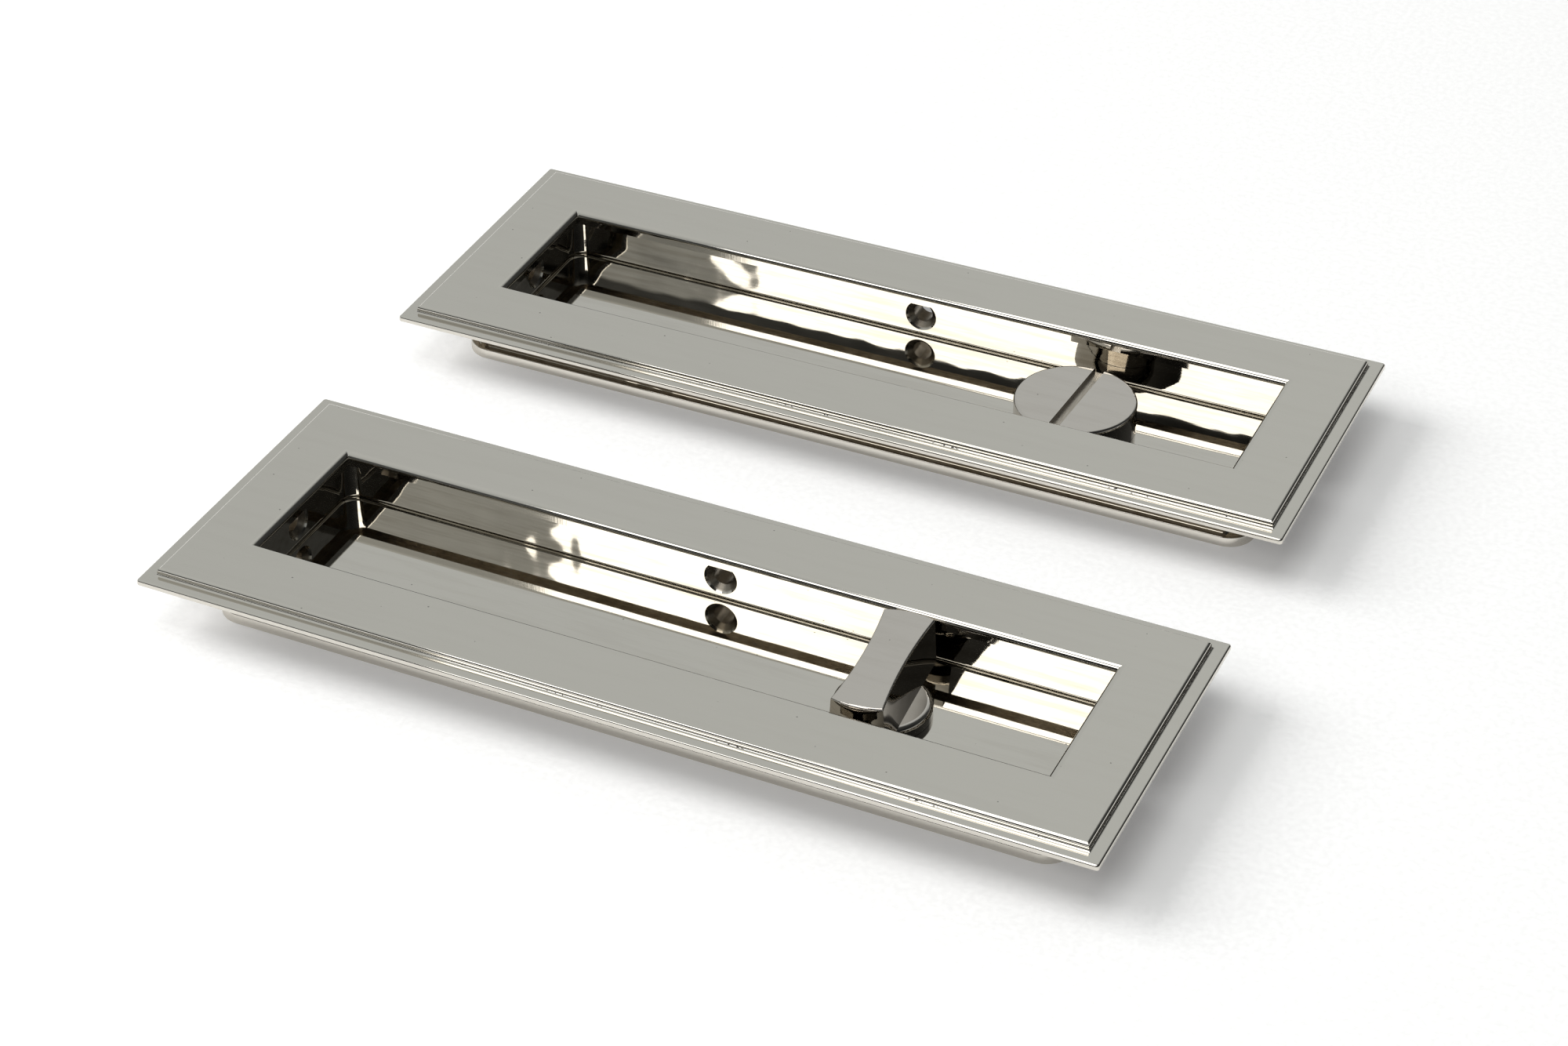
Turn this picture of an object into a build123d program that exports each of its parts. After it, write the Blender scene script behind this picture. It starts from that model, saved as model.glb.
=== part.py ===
from build123d import *
import os

# Privacy set for a sliding door: two flush pulls lying face up, one with a thumbturn, one with a coin release.
# Driving dimensions in millimetres, angles in degrees.

# Face plate
opening_length = 145.85
opening_width = 30.05
end_border = 14.575
side_border = 15.975
rim_thickness = 1.1
step_height = 1.4
ledge_width = 2.7
rim_radius = 0.45
rim_corner_radius = 0.6
rim_under_radius = 0.2
step_radius = 0.65
step_foot_radius = 0.5
step_root = 0.1
opening_radius = 1.3
opening_taper = 0.03
opening_shift_x = -0.125
opening_shift_y = 0.335

# Recess frame, the four walls behind the opening
wall_setback = 1.575
end_wall = 3.2
side_wall = 4.8
wall_height = 7.5
wall_foot_radius = 0.75
recess_corner_radius = 3.0
frame_corner_radius = 4.0

# Countersunk holes for wood screws, one in the middle of each wall
wood_screw_hole = 3.8
wood_screw_head = 6.3
wood_screw_angle = 90.0
wood_screw_rise = 4.3

# Base plate, the floor of the recess
base_ledge = 1.2
base_corner_radius = 5.0
base_edge_radius = 0.25
base_web = 0.8

# Hub: a stem through the base plate, held from below by a spring washer and a retaining ring
hub_from_end = 35.075
stem_diameter = 10.0
stem_clearance = 0.05
seat_clearance = 0.05
stem_recess = 0.1
stem_tip = 0.2
groove_depth = 0.6
ring_thickness = 0.6
ring_width = 2.4
ring_gap = 2.0
ring_play = 0.02
washer_thickness = 0.25
washer_dish = 0.2
washer_width = 2.2
washer_clearance = 0.15
counterbore_clearance = 0.6
spindle_square = 5.0
spindle_depth = 4.4

# Thumbturn: a waisted bar with turned ends on a round boss
turn_gap = 1.425
turn_end_width = 9.0
turn_waist = 7.4
turn_foot_width = 10.0
turn_foot_waist = 9.7
turn_rise = 1.1
turn_edge_radius = 0.4
turn_angle = 4.0
boss_diameter = 16.9
boss_height = 2.4
boss_edge_radius = 1.1

# Coin release: a round drum with a slot across its top
release_gap = 3.575
release_sink = 4.3
release_edge_radius = 0.6
slot_width = 2.1
slot_depth = 1.0
slot_angle = -3.0

# Flat-head screws that hold base plate, frame and face plate together
screw_diameter = 2.5
screw_head_diameter = 4.6
screw_from_end = 10.0
screw_recess = 0.05
screw_clearance = 0.1
screw_play = 0.03
screw_end_gap = 0.3
tap_cover = 1.0
drive_slot_width = 0.6
drive_slot_depth = 0.5

# How the two pulls lie
pull_spacing = 92.7
pull_shift = 2.1
release_pull_angle = 0.48

# Outlines that follow from the opening
plate_length = opening_length + 2 * end_border
plate_width = opening_width + 2 * side_border
plate_thickness = rim_thickness + step_height
recess_length = opening_length + 2 * wall_setback
recess_width = opening_width + 2 * wall_setback
frame_length = recess_length + 2 * end_wall
frame_width = recess_width + 2 * side_wall
base_length = frame_length + 2 * base_ledge
base_width = frame_width + 2 * base_ledge

# Heights of the stack under the hub, from the underside of the base plate upwards
ring_bottom = stem_recess + stem_tip
ring_top = ring_bottom + ring_thickness
washer_bottom = ring_top + ring_play
counterbore_depth = washer_bottom + washer_dish + washer_thickness + ring_play
base_thickness = counterbore_depth + base_web
plate_bottom = base_thickness + wall_height
face_height = plate_bottom + plate_thickness
hole_height = base_thickness + wood_screw_rise
hub_seat = base_thickness + seat_clearance

# Radii of the hub
stem_radius = stem_diameter / 2
groove_radius = stem_radius - groove_depth
ring_inner_radius = groove_radius + ring_play
ring_outer_radius = ring_inner_radius + ring_width
washer_inner_radius = stem_radius + washer_clearance
washer_outer_radius = washer_inner_radius + washer_width
counterbore_radius = max(ring_outer_radius, washer_outer_radius) + counterbore_clearance
turn_radius = opening_width / 2 - turn_gap
release_radius = opening_width / 2 - release_gap

# Assembly screws stand in the middle of the long walls
screw_spacing_x = opening_length - 2 * screw_from_end
screw_spacing_y = recess_width + side_wall
screw_radius = screw_diameter / 2
screw_head_radius = screw_head_diameter / 2
screw_length = plate_bottom + plate_thickness - tap_cover - screw_end_gap - screw_recess

# Reach of the turned release pull from its middle, and the middle of the set's bounding box
corner_x = plate_length / 2 - rim_corner_radius
corner_y = plate_width / 2 - rim_corner_radius
reach_x = Vector(corner_x, -corner_y).rotate(Axis.Z, release_pull_angle).X + rim_corner_radius
reach_y = Vector(corner_x, corner_y).rotate(Axis.Z, release_pull_angle).Y + rim_corner_radius
set_left = min(pull_shift / 2 - plate_length / 2, -pull_shift / 2 - reach_x)
set_right = max(pull_shift / 2 + plate_length / 2, -pull_shift / 2 + reach_x)
middle_x = (set_left + set_right) / 2
middle_y = (reach_y - plate_width / 2) / 2

turn_pull = Plane((pull_shift / 2 - middle_x, -pull_spacing / 2 - middle_y, 0))
release_pull = Plane((-pull_shift / 2 - middle_x, pull_spacing / 2 - middle_y, 0))
release_pull = release_pull.rotated((0, 0, release_pull_angle))
hub_offset = (opening_length / 2 - hub_from_end, 0, 0)
turn_hub = Plane(turn_pull.from_local_coords(hub_offset)).rotated((0, 0, turn_angle))
release_hub = Plane(release_pull.from_local_coords(hub_offset)).rotated((0, 0, slot_angle))


def opening_section(width):
    """Section across the opening: drafted sides that turn outwards at the top edge."""
    slant = (opening_taper**2 + plate_thickness**2) ** 0.5
    turn_in = opening_radius * (slant - opening_taper) / plate_thickness
    wall_top = (width / 2 - turn_in * opening_taper / slant, plate_thickness * (1 - turn_in / slant))
    with BuildSketch() as section:
        with BuildLine():
            wall = Line((width / 2 - opening_taper, 0), wall_top)
            edge = TangentArc(wall @ 1, (width / 2 + turn_in, plate_thickness), tangent=wall % 1)
            Polyline(edge @ 1, (0, plate_thickness), (0, 0), wall @ 0)
        make_face()
        mirror(about=Plane.YZ)
    return section.sketch


def step_section(width):
    """Section across the raised step: rounded top edges and hollow feet that run out into the ledge."""
    with BuildSketch() as section:
        with BuildLine():
            Line((width / 2, step_foot_radius), (width / 2, step_height - step_radius))
            CenterArc((width / 2 - step_radius, step_height - step_radius), step_radius, 0, 90)
            hollow = CenterArc((width / 2 + step_foot_radius, step_foot_radius), step_foot_radius, 180, 90)
            Polyline((width / 2 - step_radius, step_height), (0, step_height), (0, -step_root))
            Polyline((0, -step_root), (width / 2 + step_foot_radius, -step_root), hollow @ 1)
        make_face()
        mirror(about=Plane.YZ)
    return section.sketch


def mitred_block(middle, place, length, width, section):
    """Block with one section along both directions, mitred at the corners."""
    with BuildPart() as block:
        with BuildSketch(Plane(middle, x_dir=place.x_dir, z_dir=-place.y_dir)):
            add(section(length))
        extrude(amount=width, both=True)
        with BuildSketch(Plane(middle, x_dir=place.y_dir, z_dir=place.x_dir)):
            add(section(width))
        extrude(amount=length, both=True, mode=Mode.INTERSECT)
    return block.part


def face_plate(place):
    """Stepped plate with rounded edges, a sharp-cornered drafted opening and tapped holes underneath."""
    with BuildPart() as plate:
        with BuildSketch(place.offset(plate_bottom)):
            RectangleRounded(plate_length, plate_width, rim_corner_radius)
        extrude(amount=rim_thickness)
        fillet(plate.edges().group_by(Axis.Z)[-1], rim_radius)
        fillet(plate.edges().group_by(Axis.Z)[0], rim_under_radius)
        ledge = place.from_local_coords((0, 0, plate_bottom + rim_thickness))
        step_length = plate_length - 2 * ledge_width
        step_width = plate_width - 2 * ledge_width
        add(mitred_block(ledge, place, step_length, step_width, step_section))
        underside = place.from_local_coords((opening_shift_x, opening_shift_y, plate_bottom))
        opening = mitred_block(underside, place, opening_length, opening_width, opening_section)
        add(opening, mode=Mode.SUBTRACT)
        with BuildSketch(place.offset(plate_bottom)):
            with GridLocations(screw_spacing_x, screw_spacing_y, 2, 2):
                Circle(screw_radius + screw_play)
        extrude(amount=plate_thickness - tap_cover, mode=Mode.SUBTRACT)
    return plate.part


def recess_frame(place):
    """Ring of four walls with a countersunk hole in each, opened from inside the recess."""
    with BuildPart() as frame:
        with BuildSketch(place.offset(base_thickness)):
            RectangleRounded(frame_length, frame_width, frame_corner_radius)
            RectangleRounded(recess_length, recess_width, recess_corner_radius, mode=Mode.SUBTRACT)
            with GridLocations(screw_spacing_x, screw_spacing_y, 2, 2):
                Circle(screw_radius + screw_clearance, mode=Mode.SUBTRACT)
        extrude(amount=wall_height)
        foot = frame.faces().sort_by(Axis.Z)[0].inner_wires().sort_by(SortBy.LENGTH)[-1]
        fillet(foot.edges(), wall_foot_radius)
        for turn, reach, wall in (
            (0, recess_length / 2, end_wall),
            (90, recess_width / 2, side_wall),
            (180, recess_length / 2, end_wall),
            (270, recess_width / 2, side_wall),
        ):
            outward = place.x_dir.rotate(Axis.Z, turn)
            mouth = place.origin + outward * reach + Vector(0, 0, hole_height)
            with Locations(Plane(mouth, z_dir=-outward)):
                CounterSinkHole(
                    wood_screw_hole / 2,
                    wood_screw_head / 2,
                    depth=wall + base_ledge,
                    counter_sink_angle=wood_screw_angle,
                )
    return frame.part


def base_plate(place):
    """Floor plate with the hub's bore and counterbore and the countersinks of the assembly screws."""
    with BuildPart() as base:
        with BuildSketch(place):
            RectangleRounded(base_length, base_width, base_corner_radius)
        extrude(amount=base_thickness)
        fillet(base.faces().filter_by(Axis.Z).edges(), base_edge_radius)
        with BuildSketch(place):
            with Locations(hub_offset):
                Circle(stem_radius + stem_clearance)
        extrude(amount=base_thickness, mode=Mode.SUBTRACT)
        with BuildSketch(place):
            with Locations(hub_offset):
                Circle(counterbore_radius)
        extrude(amount=counterbore_depth, mode=Mode.SUBTRACT)
        with Locations(Plane(place.origin, x_dir=place.x_dir, z_dir=(0, 0, -1))):
            with GridLocations(screw_spacing_x, screw_spacing_y, 2, 2):
                CounterSinkHole(
                    screw_radius + screw_clearance,
                    screw_head_radius + screw_recess + screw_play,
                    depth=base_thickness,
                    counter_sink_angle=90,
                )
    return base.part


def hub_stem(hub):
    """Stem from the floor down to the ring groove and its tip."""
    with BuildPart() as stem:
        with BuildSketch(hub.offset(stem_recess)):
            Circle(stem_radius)
        extrude(amount=hub_seat - stem_recess)
        with BuildSketch(hub.offset(ring_bottom - ring_play)):
            Circle(stem_radius)
            Circle(groove_radius, mode=Mode.SUBTRACT)
        extrude(amount=ring_thickness + 2 * ring_play, mode=Mode.SUBTRACT)
    return stem.part


def bar_outline(level, end_width, waist):
    """Outline of the thumbturn's bar at one height: round ends and hollow sides."""
    half_end = end_width / 2
    corner = (turn_radius**2 - half_end**2) ** 0.5
    with BuildSketch(level) as outline:
        with BuildLine():
            ThreePointArc((-half_end, corner), (0, turn_radius), (half_end, corner))
            ThreePointArc((half_end, corner), (waist / 2, 0), (half_end, -corner))
            ThreePointArc((half_end, -corner), (0, -turn_radius), (-half_end, -corner))
            ThreePointArc((-half_end, -corner), (-waist / 2, 0), (-half_end, corner))
        make_face()
    return outline.sketch


def thumbturn(hub):
    """Boss, stem and waisted bar in one piece, with a square socket for the spindle."""
    foot = bar_outline(hub.offset(hub_seat + boss_height), turn_foot_width, turn_foot_waist)
    top = bar_outline(hub.offset(face_height + turn_rise), turn_end_width, turn_waist)
    with BuildPart() as turn:
        with BuildSketch(hub.offset(hub_seat)):
            Circle(boss_diameter / 2)
        extrude(amount=boss_height)
        fillet(turn.edges().group_by(Axis.Z)[-1], boss_edge_radius)
        loft([foot, top])
        fillet(turn.edges().group_by(Axis.Z)[-1], turn_edge_radius)
        add(hub_stem(hub))
        with BuildSketch(hub.offset(stem_recess)):
            Rectangle(spindle_square, spindle_square)
        extrude(amount=spindle_depth, mode=Mode.SUBTRACT)
    return turn.part


def coin_release(hub):
    """Drum and stem in one piece, with a coin slot on top and a square socket for the spindle."""
    top = face_height - release_sink
    with BuildPart() as release:
        with BuildSketch(hub.offset(hub_seat)):
            Circle(release_radius)
        extrude(amount=top - hub_seat)
        fillet(release.edges().group_by(Axis.Z)[-1], release_edge_radius)
        with BuildSketch(hub.offset(top)):
            Rectangle(slot_width, 2 * release_radius)
        extrude(amount=-slot_depth, mode=Mode.SUBTRACT)
        add(hub_stem(hub))
        with BuildSketch(hub.offset(stem_recess)):
            Rectangle(spindle_square, spindle_square)
        extrude(amount=spindle_depth, mode=Mode.SUBTRACT)
    return release.part


def spring_washer(hub):
    """Dished washer: its rim presses on the base plate, its inner edge on the retaining ring."""
    with BuildPart() as washer:
        with BuildSketch(Plane(hub.origin, x_dir=hub.x_dir, z_dir=-hub.y_dir)):
            with BuildLine():
                Polyline(
                    (washer_inner_radius, washer_bottom),
                    (washer_outer_radius, washer_bottom + washer_dish),
                    (washer_outer_radius, washer_bottom + washer_dish + washer_thickness),
                    (washer_inner_radius, washer_bottom + washer_thickness),
                    close=True,
                )
            make_face()
        revolve(axis=Axis(hub.origin, (0, 0, 1)))
    return washer.part


def retaining_ring(hub):
    """Open ring that snaps into the stem's groove."""
    with BuildPart() as ring:
        with BuildSketch(hub.offset(ring_bottom)):
            Circle(ring_outer_radius)
            Circle(ring_inner_radius, mode=Mode.SUBTRACT)
            with Locations((ring_outer_radius, 0)):
                Rectangle(2 * ring_outer_radius, ring_gap, mode=Mode.SUBTRACT)
        extrude(amount=ring_thickness)
    return ring.part


def assembly_screws(place):
    """Four slotted flat-head screws, standing head down in the base plate."""
    with BuildPart() as screw:
        with BuildSketch(Plane.XZ):
            with BuildLine():
                Polyline(
                    (0, screw_recess),
                    (screw_head_radius, screw_recess),
                    (screw_radius, screw_recess + screw_head_radius - screw_radius),
                    (screw_radius, screw_recess + screw_length),
                    (0, screw_recess + screw_length),
                    close=True,
                )
            make_face()
        revolve(axis=Axis.Z)
        with BuildSketch(Plane.XY.offset(screw_recess)):
            Rectangle(screw_head_diameter, drive_slot_width)
        extrude(amount=drive_slot_depth, mode=Mode.SUBTRACT)
    with BuildPart() as screws:
        with Locations(place):
            with GridLocations(screw_spacing_x, screw_spacing_y, 2, 2):
                add(screw.part)
    return screws.part


pieces = {
    "turn_face_plate": face_plate(turn_pull),
    "turn_recess_frame": recess_frame(turn_pull),
    "turn_base_plate": base_plate(turn_pull),
    "turn_assembly_screws": assembly_screws(turn_pull),
    "thumbturn": thumbturn(turn_hub),
    "turn_spring_washer": spring_washer(turn_hub),
    "turn_retaining_ring": retaining_ring(turn_hub),
    "release_face_plate": face_plate(release_pull),
    "release_recess_frame": recess_frame(release_pull),
    "release_base_plate": base_plate(release_pull),
    "release_assembly_screws": assembly_screws(release_pull),
    "coin_release": coin_release(release_hub),
    "release_spring_washer": spring_washer(release_hub),
    "release_retaining_ring": retaining_ring(release_hub),
}

os.makedirs("parts", exist_ok=True)
for name, piece in pieces.items():
    piece.label = name
    export_step(piece, f"parts/{name}.step")
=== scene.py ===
from math import pi, radians
import bpy
import bmesh
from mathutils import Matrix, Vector

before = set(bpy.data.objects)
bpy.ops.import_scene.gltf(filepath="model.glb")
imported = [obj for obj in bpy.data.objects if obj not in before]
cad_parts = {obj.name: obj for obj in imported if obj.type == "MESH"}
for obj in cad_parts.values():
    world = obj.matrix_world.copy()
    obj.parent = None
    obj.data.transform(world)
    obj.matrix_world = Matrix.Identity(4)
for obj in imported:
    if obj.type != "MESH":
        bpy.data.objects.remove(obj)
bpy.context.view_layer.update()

print("frame loaded:", len(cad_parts), "nodes")


# camera, over the front right corner of the pulls
cameraSet = {
    "place": (0.21875, -0.47037, 0.36849),
    "tilt": 54.5,
    "turn": 25.023,
    "lens": 81.3,
    "sensor": 36.0,
    "nearest": 0.01,
}


def makeCamera():
    data = bpy.data.cameras.new("photoCamera")
    data.lens = cameraSet["lens"]
    data.sensor_width = cameraSet["sensor"]
    data.clip_start = cameraSet["nearest"]
    camera = bpy.data.objects.new("photoCamera", data)
    camera.location = cameraSet["place"]
    camera.rotation_euler = (radians(cameraSet["tilt"]), 0, radians(cameraSet["turn"]))
    scene = bpy.context.scene
    scene.collection.objects.link(camera)
    scene.camera = camera
    scene.view_settings.view_transform = "Standard"


makeCamera()
print("camera set")


# small helpers for node trees
def addNode(tree, kind, **values):
    node = tree.nodes.new(kind)
    for key, value in values.items():
        setattr(node, key, value)
    return node


def feed(tree, socket, value):
    if isinstance(value, bpy.types.NodeSocket):
        tree.links.new(value, socket)
    else:
        socket.default_value = value


def mathNode(tree, operation, *values, clamp=False):
    node = addNode(tree, "ShaderNodeMath", operation=operation, use_clamp=clamp)
    for socket, value in zip(node.inputs, values):
        feed(tree, socket, value)
    return node.outputs[0]


def product(tree, first, *others):
    for other in others:
        first = mathNode(tree, "MULTIPLY", first, other)
    return first


def distance(tree, value, middle):
    return mathNode(tree, "ABSOLUTE", mathNode(tree, "SUBTRACT", value, middle))


def between(tree, value, low, high):
    over = mathNode(tree, "GREATER_THAN", value, low)
    return product(tree, over, mathNode(tree, "LESS_THAN", value, high))


def vectorNode(tree, operation, first, second):
    node = addNode(tree, "ShaderNodeVectorMath", operation=operation)
    feed(tree, node.inputs[0], first)
    feed(tree, node.inputs[1], second)
    return node.outputs["Value" if operation == "DOT_PRODUCT" else "Vector"]


def splitNode(tree, vector):
    node = addNode(tree, "ShaderNodeSeparateXYZ")
    feed(tree, node.inputs[0], vector)
    return node.outputs


def joinNode(tree, **values):
    node = addNode(tree, "ShaderNodeCombineXYZ")
    for axis, value in values.items():
        feed(tree, node.inputs[axis], value)
    return node.outputs[0]


def upward(tree):
    return splitNode(tree, addNode(tree, "ShaderNodeNewGeometry").outputs["Normal"])["Z"]


def rampNode(tree, value, low, high, first=0.0, last=1.0):
    node = addNode(tree, "ShaderNodeMapRange", interpolation_type="SMOOTHSTEP")
    for socket, item in zip(node.inputs, (value, low, high, first, last)):
        feed(tree, socket, item)
    return node.outputs[0]


def noiseNode(tree, place, scale, stretch=(1, 1, 1), detail=2.0, rough=0.5):
    node = addNode(tree, "ShaderNodeTexNoise")
    feed(tree, node.inputs["Vector"], vectorNode(tree, "MULTIPLY", place, stretch))
    feed(tree, node.inputs["Scale"], scale)
    feed(tree, node.inputs["Detail"], detail)
    feed(tree, node.inputs["Roughness"], rough)
    return node.outputs[0]


def mixColour(tree, factor, first, second):
    node = addNode(tree, "ShaderNodeMix", data_type="RGBA")
    for place, value in ((0, factor), (6, first), (7, second)):
        feed(tree, node.inputs[place], (*value, 1) if isinstance(value, tuple) else value)
    return node.outputs[2]


# studio: a grey room, dark on the right, with a low fill at the front right and three soft boxes
roomSet = {
    "brightSide": (-0.94, 0.34, 0.0),
    "levels": (
        (0.08, 0.012), (0.45, 0.06), (0.56, 0.42), (0.64, 0.59),
        (0.73, 0.62), (0.84, 0.58), (1.0, 0.56),
    ),
    "tint": (1.0, 1.035, 1.03),
    "lowFront": {"front": (0.30, 0.60), "height": (0.46, 0.51, 1.0, 0.0), "dim": 0.80},
    "fill": {
        "side": (0.85, -0.53, 0.0), "reach": (0.25, 0.75),
        "height": (0.34, 0.44, 1.0, 0.0), "level": 0.28,
    },
}


def tinted(level):
    return tuple(level * part for part in roomSet["tint"])


def makeRoom():
    world = bpy.data.worlds.new("greyRoom")
    bpy.context.scene.world = world
    world.use_nodes = True
    tree = world.node_tree
    tree.nodes.clear()
    direction = addNode(tree, "ShaderNodeTexCoord").outputs["Generated"]
    parts = splitNode(tree, direction)

    side = vectorNode(tree, "DOT_PRODUCT", direction, roomSet["brightSide"])
    ramp = addNode(tree, "ShaderNodeValToRGB")
    feed(tree, ramp.inputs[0], mathNode(tree, "MULTIPLY_ADD", side, 0.5, 0.5))
    stops = ramp.color_ramp.elements
    for count, (place, level) in enumerate(roomSet["levels"]):
        stop = stops[count] if count < 2 else stops.new(place)
        stop.position = place
        stop.color = (*tinted(level), 1)

    fill = roomSet["fill"]
    facing = vectorNode(tree, "DOT_PRODUCT", direction, fill["side"])
    filled = product(
        tree, rampNode(tree, facing, *fill["reach"]), rampNode(tree, parts["Z"], *fill["height"])
    )
    colour = mixColour(tree, filled, ramp.outputs[0], tinted(fill["level"]))

    low = roomSet["lowFront"]
    front = rampNode(tree, product(tree, parts["Y"], -1.0), *low["front"])
    under = rampNode(tree, parts["Z"], *low["height"])
    unfilled = mathNode(tree, "SUBTRACT", 1.0, filled)
    dim = product(tree, front, under, low["dim"], unfilled)

    glow = addNode(tree, "ShaderNodeBackground")
    feed(tree, glow.inputs["Color"], colour)
    feed(tree, glow.inputs["Strength"], mathNode(tree, "SUBTRACT", 1.0, dim))
    out = addNode(tree, "ShaderNodeOutputWorld")
    feed(tree, out.inputs[0], glow.outputs[0])


# the left box only casts the shadows; the polished faces don't mirror it
boxSet = {
    "frontBox": {
        "place": (-0.15, -0.584, 0.509), "aim": (-0.15, 0.037, 0.0),
        "size": (0.42, 0.21), "glow": 2.9, "mirrored": True,
    },
    "topBox": {
        "place": (-0.05, -0.50, 2.40), "aim": (0.0, 0.0, 0.0),
        "size": (1.4, 1.4), "glow": 2.2, "mirrored": True,
    },
    "leftBox": {
        "place": (-1.98, -0.35, 1.45), "aim": (0.0, 0.0, 0.0),
        "size": (1.5, 1.5), "glow": 7.1, "mirrored": False,
    },
}


def makeSoftBox(name, box):
    data = bpy.data.lights.new(name, "AREA")
    data.shape = "RECTANGLE"
    data.size, data.size_y = box["size"]
    data.energy = box["glow"] * pi * data.size * data.size_y
    lamp = bpy.data.objects.new(name, data)
    lamp.location = box["place"]
    aim = Vector(box["aim"]) - Vector(box["place"])
    lamp.rotation_euler = aim.to_track_quat("-Z", "Y").to_euler()
    lamp.visible_camera = False
    lamp.visible_glossy = box["mirrored"]
    bpy.context.scene.collection.objects.link(lamp)


makeRoom()
for name, box in boxSet.items():
    makeSoftBox(name, box)
print("studio lit")


# white table
tableSet = {
    "span": 8.0,
    "colour": (0.88, 0.875, 0.865),
    "pit": (0.80, 0.795, 0.785),
    "grain": {"scale": 900.0, "detail": 2.0, "rough": 0.7},
    "grainRange": (0.3, 0.7),
    "lift": 0.21,
}


def makePaper():
    paper = bpy.data.materials.new("whitePaper")
    paper.use_nodes = True
    tree = paper.node_tree
    tree.nodes.clear()
    coords = addNode(tree, "ShaderNodeTexCoord")
    grain = noiseNode(tree, coords.outputs["Object"], **tableSet["grain"])
    pits = rampNode(tree, grain, *tableSet["grainRange"])
    matt = addNode(tree, "ShaderNodeBsdfDiffuse")
    feed(tree, matt.inputs["Color"], mixColour(tree, pits, tableSet["pit"], tableSet["colour"]))
    path = addNode(tree, "ShaderNodeLightPath").outputs
    seen = mathNode(tree, "ADD", path["Is Camera Ray"], path["Is Glossy Ray"], clamp=True)
    seen = mathNode(tree, "ADD", seen, path["Is Transmission Ray"], clamp=True)
    lift = addNode(tree, "ShaderNodeEmission")
    feed(tree, lift.inputs["Strength"], product(tree, seen, tableSet["lift"]))
    both = addNode(tree, "ShaderNodeAddShader")
    feed(tree, both.inputs[0], matt.outputs[0])
    feed(tree, both.inputs[1], lift.outputs[0])
    out = addNode(tree, "ShaderNodeOutputMaterial")
    feed(tree, out.inputs["Surface"], both.outputs[0])
    return paper


def makeTable():
    mesh = bpy.data.meshes.new("whiteTable")
    bm = bmesh.new()
    bmesh.ops.create_grid(bm, x_segments=1, y_segments=1, size=tableSet["span"] / 2)
    bm.to_mesh(mesh)
    bm.free()
    table = bpy.data.objects.new("whiteTable", mesh)
    bpy.context.scene.collection.objects.link(table)
    mesh.materials.append(makePaper())


makeTable()
print("table laid")


# effects shared by the finishes, in millimetres from the middle of the pull they belong to
def newGroup(name, inputs, outputs):
    group = bpy.data.node_groups.new(name, "ShaderNodeTree")
    for side, labels in (("INPUT", inputs), ("OUTPUT", outputs)):
        for label in labels:
            kind = "NodeSocketVector" if label in ("Place", "Patch") else "NodeSocketFloat"
            group.interface.new_socket(label, in_out=side, socket_type=kind)
    source = addNode(group, "NodeGroupInput").outputs
    return group, source, addNode(group, "NodeGroupOutput").inputs


# Patch is moved along on the rear pull, so that the two pulls aren't polished alike
pullSet = {
    "turn": (1.173, -46.711),
    "release": (-0.927, 45.989),
    "releaseTurn": 0.00838,
    "releaseShift": 163.0,
    "scale": 1000.0,
}


def makePullPlace():
    group, source, target = newGroup("pullPlace", (), ("Place", "Patch", "Rear"))
    coords = addNode(group, "ShaderNodeTexCoord")
    whole = vectorNode(group, "MULTIPLY", coords.outputs["Object"], (pullSet["scale"],) * 3)
    parts = splitNode(group, whole)
    rear = mathNode(group, "GREATER_THAN", parts["Y"], 0.0)
    offsets = []
    for axis, turn, release in zip("XY", pullSet["turn"], pullSet["release"]):
        middle = mathNode(group, "MULTIPLY_ADD", rear, release - turn, turn)
        offsets.append(mathNode(group, "SUBTRACT", parts[axis], middle))
    alongX, acrossY = offsets
    lean = product(group, rear, pullSet["releaseTurn"])
    place = joinNode(
        group,
        X=mathNode(group, "MULTIPLY_ADD", acrossY, lean, alongX),
        Y=mathNode(group, "SUBTRACT", acrossY, product(group, alongX, lean)),
        Z=parts["Z"],
    )
    away = joinNode(group, X=product(group, rear, pullSet["releaseShift"]))
    feed(group, target["Place"], place)
    feed(group, target["Patch"], vectorNode(group, "ADD", place, away))
    feed(group, target["Rear"], rear)
    return group


polishSet = {
    "waves": {"scale": 0.10, "detail": 1.0, "rough": 0.45},
    "streaks": {"scale": 1.0, "stretch": (0.035, 0.9, 0.9), "detail": 3.0, "rough": 0.6},
    "grain": {"scale": 1.0, "stretch": (0.12, 5.0, 5.0), "detail": 2.0},
    "smears": {"scale": 1.0, "stretch": (0.05, 0.45, 0.8), "detail": 4.0, "rough": 0.6},
    "dullStreaks": (0.45, 0.75),
    "dullGrain": (0.4, 0.7),
    "hazeRange": (0.40, 0.72),
    "hazeColour": (0.44, 0.40, 0.34),
}


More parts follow.
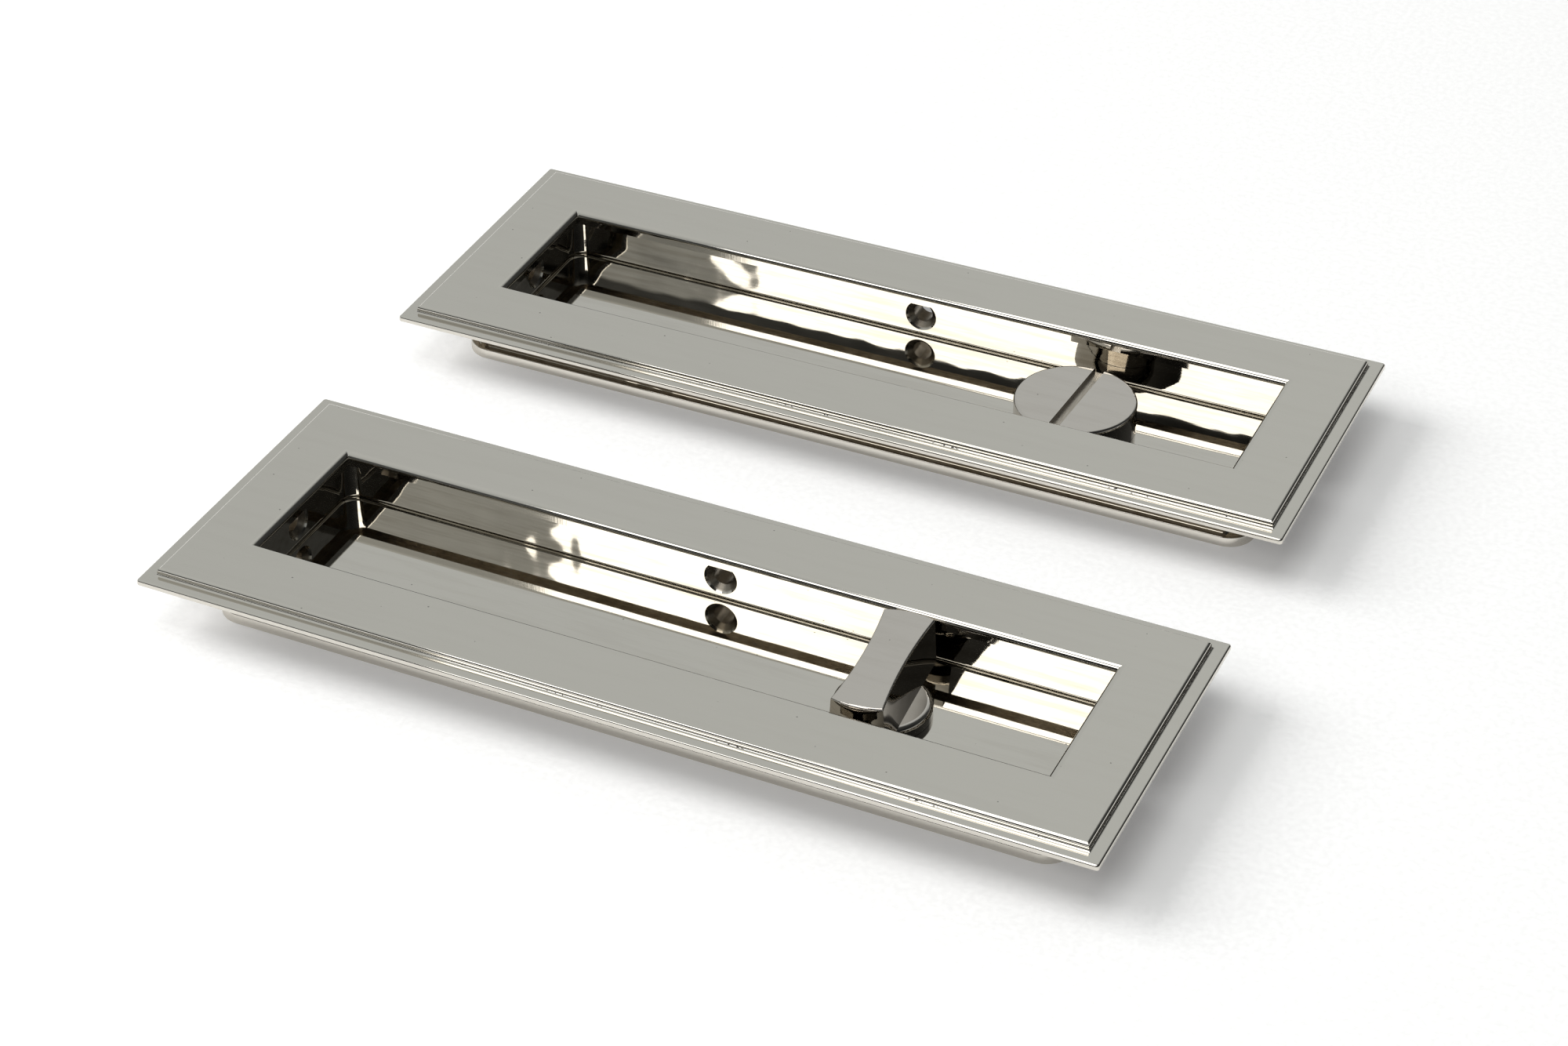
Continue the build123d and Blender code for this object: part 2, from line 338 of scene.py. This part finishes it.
def makePolish():
    group, source, target = newGroup(
        "handPolish", ("Place", "Waves", "Streaks", "Grain"), ("Height", "Dullness", "Haze")
    )
    place = source["Place"]
    waves = noiseNode(group, place, **polishSet["waves"])
    streaks = noiseNode(group, place, **polishSet["streaks"])
    grain = noiseNode(group, place, **polishSet["grain"])
    smears = noiseNode(group, place, **polishSet["smears"])
    height = product(group, waves, source["Waves"])
    height = mathNode(group, "MULTIPLY_ADD", streaks, source["Streaks"], height)
    height = mathNode(group, "MULTIPLY_ADD", grain, source["Grain"], height)
    dullStreaks = rampNode(group, streaks, *polishSet["dullStreaks"])
    dullGrain = rampNode(group, grain, *polishSet["dullGrain"])
    feed(group, target["Height"], height)
    feed(group, target["Dullness"], product(group, dullStreaks, dullGrain))
    feed(group, target["Haze"], rampNode(group, smears, *polishSet["hazeRange"]))
    return group


# black polish left in the hollow foot of the step, most of it at the right end
residueSet = {
    "step": (84.8, 28.3),
    "foot": 10.85,
    "offRange": (0.1, 0.4, 1.0, 0.0),
    "riseRange": (0.15, 0.45, 1.0, 0.0),
    "rightEnd": (82.0, 84.5),
    "rightAcross": (-30.0, 28.0, 0.1, 0.9),
    "patches": {"scale": 0.05, "detail": 1.0},
    "patchRange": (0.60, 0.68, 0.0, 0.55),
    "patchFrom": (-30.0, 10.0),
    "crumbs": {"scale": 1.3, "detail": 3.0, "rough": 0.6},
    "crumbRange": (0.62, 0.68),
    "gain": 0.15,
    "colour": (0.020, 0.017, 0.014),
    "dull": 0.7,
}


def makeResidue():
    group, source, target = newGroup("polishResidue", ("Place",), ("Residue",))
    place = source["Place"]
    parts = splitNode(group, place)
    past = []
    for axis, reach in zip("XY", residueSet["step"]):
        past.append(mathNode(group, "SUBTRACT", mathNode(group, "ABSOLUTE", parts[axis]), reach))
    off = mathNode(group, "ABSOLUTE", mathNode(group, "MAXIMUM", *past))
    rise = distance(group, parts["Z"], residueSet["foot"])
    near = product(
        group,
        rampNode(group, off, *residueSet["offRange"]),
        rampNode(group, rise, *residueSet["riseRange"]),
    )
    rightEnd = product(
        group,
        rampNode(group, parts["X"], *residueSet["rightEnd"]),
        rampNode(group, parts["Y"], *residueSet["rightAcross"]),
    )
    patches = noiseNode(group, place, **residueSet["patches"])
    patches = product(
        group,
        rampNode(group, patches, *residueSet["patchRange"]),
        rampNode(group, parts["X"], *residueSet["patchFrom"]),
    )
    crumbs = noiseNode(group, place, **residueSet["crumbs"])
    more = mathNode(group, "MAXIMUM", rightEnd, patches)
    crumbs = mathNode(group, "MULTIPLY_ADD", more, residueSet["gain"], crumbs)
    crumbs = rampNode(group, crumbs, *residueSet["crumbRange"])
    feed(group, target["Residue"], product(group, near, crumbs))
    return group


# upright file marks on the edge of the opening
hatchSet = {
    "middle": (-0.125, 0.335),
    "half": (73.0, 15.1),
    "edge": (-0.05, 0.05, 1.0, 0.0),
    "lines": {"scale": 1.0, "stretch": (2.4, 2.4, 0.08), "detail": 3.0, "rough": 0.65},
}


def makeHatch():
    group, source, target = newGroup("fileHatch", ("Place",), ("Height",))
    parts = splitNode(group, source["Place"])
    past = []
    for axis, middle, half in zip("XY", hatchSet["middle"], hatchSet["half"]):
        past.append(mathNode(group, "SUBTRACT", distance(group, parts[axis], middle), half))
    inside = rampNode(group, mathNode(group, "MAXIMUM", *past), *hatchSet["edge"])
    lines = noiseNode(group, source["Place"], **hatchSet["lines"])
    feed(group, target["Height"], product(group, inside, lines))
    return group


# the base plate's side leans back towards its top
rollSet = {"lean": 215.0, "bulge": 12.0}


def makeRolledEdge():
    group, source, target = newGroup("rolledEdge", ("Place",), ("Height",))
    level = splitNode(group, source["Place"])["Z"]
    slope = mathNode(group, "MULTIPLY_ADD", level, rollSet["bulge"], rollSet["lean"])
    feed(group, target["Height"], product(group, level, slope, -1.0))
    return group


# the rear pull's walls lean in towards their top
leanSet = {"start": 5.5, "bend": 12.0}


def makeLeaningTop():
    group, source, target = newGroup("leaningTop", ("Place", "Rear"), ("Height",))
    level = splitNode(group, source["Place"])["Z"]
    over = mathNode(group, "MAXIMUM", mathNode(group, "SUBTRACT", level, leanSet["start"]), 0.0)
    feed(group, target["Height"], product(group, over, over, source["Rear"], leanSet["bend"]))
    return group


speckSet = {
    "scale": 0.16,
    "sizes": (0.70, 1.0, 0.0, 0.026),
    "flat": 0.95,
    "colour": (0.33, 0.315, 0.285),
}


def makeSpecks():
    group, source, target = newGroup("dustSpecks", ("Place",), ("Specks",))
    cells = addNode(group, "ShaderNodeTexVoronoi", voronoi_dimensions="2D")
    feed(group, cells.inputs["Vector"], source["Place"])
    feed(group, cells.inputs["Scale"], speckSet["scale"])
    tone = addNode(group, "ShaderNodeSeparateColor")
    feed(group, tone.inputs[0], cells.outputs["Color"])
    size = rampNode(group, tone.outputs["Red"], *speckSet["sizes"])
    spot = mathNode(group, "LESS_THAN", cells.outputs["Distance"], size)
    flat = mathNode(group, "GREATER_THAN", upward(group), speckSet["flat"])
    feed(group, target["Specks"], product(group, spot, flat))
    return group


# rougher raw metal on undersides, on the frame's outside and in the screw holes; its dark colour
# there is painted shade for these shaded places
rawShadeSet = {
    "down": (-0.98, -0.8, 1.0, 0.0),
    "past": (77.6, 21.3),
    "levels": (2.25, 9.66),
    "holeLevel": 6.49,
    "holeRange": (2.6, 3.1, 0.85, 0.0),
    "holeFrom": {"X": 74.45, "Y": 16.5},
    "cast": {"scale": 0.35, "detail": 4.0, "rough": 0.65},
    "castRange": (0.2, 0.7, 0.86, 1.0),
    # painted shade: dark colour for the undersides, the frame's outside and the screw holes
    "colour": (0.17, 0.14, 0.10),
    "dull": 0.38,
}


def makeRawAndShade():
    group, source, target = newGroup("rawAndShadedUnderside", ("Place",), ("Raw",))
    parts = splitNode(group, source["Place"])
    reach = {axis: mathNode(group, "ABSOLUTE", parts[axis]) for axis in "XY"}
    past = []
    for axis, limit in zip("XY", rawShadeSet["past"]):
        past.append(mathNode(group, "GREATER_THAN", reach[axis], limit))
    level = between(group, parts["Z"], *rawShadeSet["levels"])
    rawShade = product(group, mathNode(group, "MAXIMUM", *past), level)
    # painted shade in the screw holes, as a dark disc around each hole
    rise = mathNode(group, "SUBTRACT", parts["Z"], rawShadeSet["holeLevel"])
    for along, across in ("XY", "YX"):
        square = product(group, parts[along], parts[along])
        off = mathNode(group, "SQRT", mathNode(group, "MULTIPLY_ADD", rise, rise, square))
        deep = mathNode(group, "GREATER_THAN", reach[across], rawShadeSet["holeFrom"][across])
        hole = product(group, deep, rampNode(group, off, *rawShadeSet["holeRange"]))
        rawShade = mathNode(group, "MAXIMUM", rawShade, hole)
    rawShade = mathNode(group, "MAXIMUM", rawShade, rampNode(group, upward(group), *rawShadeSet["down"]))
    cast = noiseNode(group, source["Place"], **rawShadeSet["cast"])
    feed(group, target["Raw"], product(group, rawShade, rampNode(group, cast, *rawShadeSet["castRange"])))
    return group


# scratched floor of the coin slot
slotSet = {
    "levels": (6.5, 7.6),
    "flat": 0.9,
    "scratches": {"scale": 1.0, "stretch": (4.0, 0.3, 1.0), "detail": 3.0, "rough": 0.6},
    "scratchRange": (0.25, 0.65, 0.55, 1.0),
    "colour": (0.47, 0.42, 0.35),
    "dull": 0.3,
}


def makeSlotWear():
    group, source, target = newGroup("slotWear", ("Place",), ("Wear",))
    level = between(group, splitNode(group, source["Place"])["Z"], *slotSet["levels"])
    flat = mathNode(group, "GREATER_THAN", upward(group), slotSet["flat"])
    scratches = noiseNode(group, source["Place"], **slotSet["scratches"])
    scratches = rampNode(group, scratches, *slotSet["scratchRange"])
    feed(group, target["Wear"], product(group, level, flat, scratches))
    return group


pullPlace = makePullPlace()
handPolish = makePolish()
otherEffects = (
    makeResidue(), makeHatch(), makeRolledEdge(), makeLeaningTop(),
    makeSpecks(), makeRawAndShade(), makeSlotWear(),
)
print("effects made")


# finishes; waves, streaks, grain and hatch are heights in micrometres
nickelBase = {
    "colour": (0.67, 0.64, 0.582), "roughness": 0.03, "dull": 0.05, "haze": 0.14,
    "waves": 8.0, "streaks": 0.5, "grain": 0.05, "hatch": 0.0, "roll": 0.0, "lean": 0.0,
}
nickelSet = {
    "plateNickel": {**nickelBase, "roughness": 0.05, "haze": 0.05, "grain": 0.02, "hatch": 1.6},
    "wallNickel": {
        **nickelBase, "dull": 0.06, "haze": 0.60,
        "waves": 190.0, "streaks": 4.0, "grain": 0.08, "lean": 1.0,
    },
    "floorNickel": {**nickelBase, "haze": 0.16, "streaks": 0.8, "roll": 1.0},
    "turnNickel": {**nickelBase, "colour": (0.645, 0.605, 0.555), "roughness": 0.05},
}
steelSet = {
    "colour": (0.50, 0.50, 0.51), "wornColour": (0.40, 0.39, 0.38),
    "roughness": 0.26, "dull": 0.2, "waves": 5.0, "streaks": 3.0, "grain": 1.5,
}
micrometre = 0.000001


def newFinish(name):
    finish = bpy.data.materials.new(name)
    finish.use_nodes = True
    tree = finish.node_tree
    return finish, tree, tree.nodes["Principled BSDF"].inputs


def addPolish(tree, spot, values):
    polish = addNode(tree, "ShaderNodeGroup", node_tree=handPolish)
    feed(tree, polish.inputs["Place"], spot["Patch"])
    for label in ("Waves", "Streaks", "Grain"):
        feed(tree, polish.inputs[label], values[label.lower()])
    return polish.outputs


def addBump(tree, skin, height):
    bump = addNode(tree, "ShaderNodeBump")
    feed(tree, bump.inputs["Strength"], 1.0)
    feed(tree, bump.inputs["Distance"], micrometre)
    feed(tree, bump.inputs["Height"], height)
    feed(tree, skin["Normal"], bump.outputs[0])


def makeNickel(name, values):
    nickel, tree, skin = newFinish(name)
    spot = addNode(tree, "ShaderNodeGroup", node_tree=pullPlace).outputs
    polish = addPolish(tree, spot, values)
    effects = {}
    for group in otherEffects:
        node = addNode(tree, "ShaderNodeGroup", node_tree=group)
        for socket in node.inputs:
            feed(tree, socket, spot[socket.name])
        effects[group.name] = node.outputs[0]
    residue, rawShade, wear = (effects[key] for key in ("polishResidue", "rawAndShadedUnderside", "slotWear"))

    haze = product(tree, polish["Haze"], values["haze"])
    colour = mixColour(tree, haze, values["colour"], polishSet["hazeColour"])
    # dark raw colour: painted shade on undersides, the frame's outside and the screw holes
    colour = mixColour(tree, rawShade, colour, rawShadeSet["colour"])
    colour = mixColour(tree, wear, colour, slotSet["colour"])
    colour = mixColour(tree, effects["dustSpecks"], colour, speckSet["colour"])
    colour = mixColour(tree, residue, colour, residueSet["colour"])
    feed(tree, skin["Base Color"], colour)
    feed(tree, skin["Metallic"], mathNode(tree, "SUBTRACT", 1.0, residue))

    dull = mathNode(tree, "MULTIPLY_ADD", polish["Dullness"], values["dull"], values["roughness"])
    dull = mathNode(tree, "MULTIPLY_ADD", rawShade, rawShadeSet["dull"], dull)
    dull = mathNode(tree, "MULTIPLY_ADD", wear, slotSet["dull"], dull)
    dull = mathNode(tree, "MULTIPLY_ADD", residue, residueSet["dull"], dull, clamp=True)
    feed(tree, skin["Roughness"], dull)

    height = polish["Height"]
    for effect, key in (("fileHatch", "hatch"), ("rolledEdge", "roll"), ("leaningTop", "lean")):
        height = mathNode(tree, "MULTIPLY_ADD", effects[effect], values[key], height)
    addBump(tree, skin, height)
    return nickel


def makeSteel(name, values):
    steel, tree, skin = newFinish(name)
    spot = addNode(tree, "ShaderNodeGroup", node_tree=pullPlace).outputs
    polish = addPolish(tree, spot, values)
    worn = polish["Dullness"]
    feed(tree, skin["Base Color"], mixColour(tree, worn, values["colour"], values["wornColour"]))
    feed(tree, skin["Metallic"], 1.0)
    dull = mathNode(tree, "MULTIPLY_ADD", worn, values["dull"], values["roughness"])
    feed(tree, skin["Roughness"], dull)
    addBump(tree, skin, polish["Height"])
    return steel


finishes = {name: makeNickel(name, values) for name, values in nickelSet.items()}
finishes["plainSteel"] = makeSteel("plainSteel", steelSet)
finishOf = {
    "face_plate": "plateNickel",
    "recess_frame": "wallNickel",
    "base_plate": "floorNickel",
    "thumbturn": "turnNickel",
    "coin_release": "turnNickel",
    "assembly_screws": "plainSteel",
    "spring_washer": "plainSteel",
    "retaining_ring": "plainSteel",
}
for name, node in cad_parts.items():
    for ending, finish in finishOf.items():
        if name.endswith(ending):
            node.material_slots[0].material = finishes[finish]
print("finishes on")
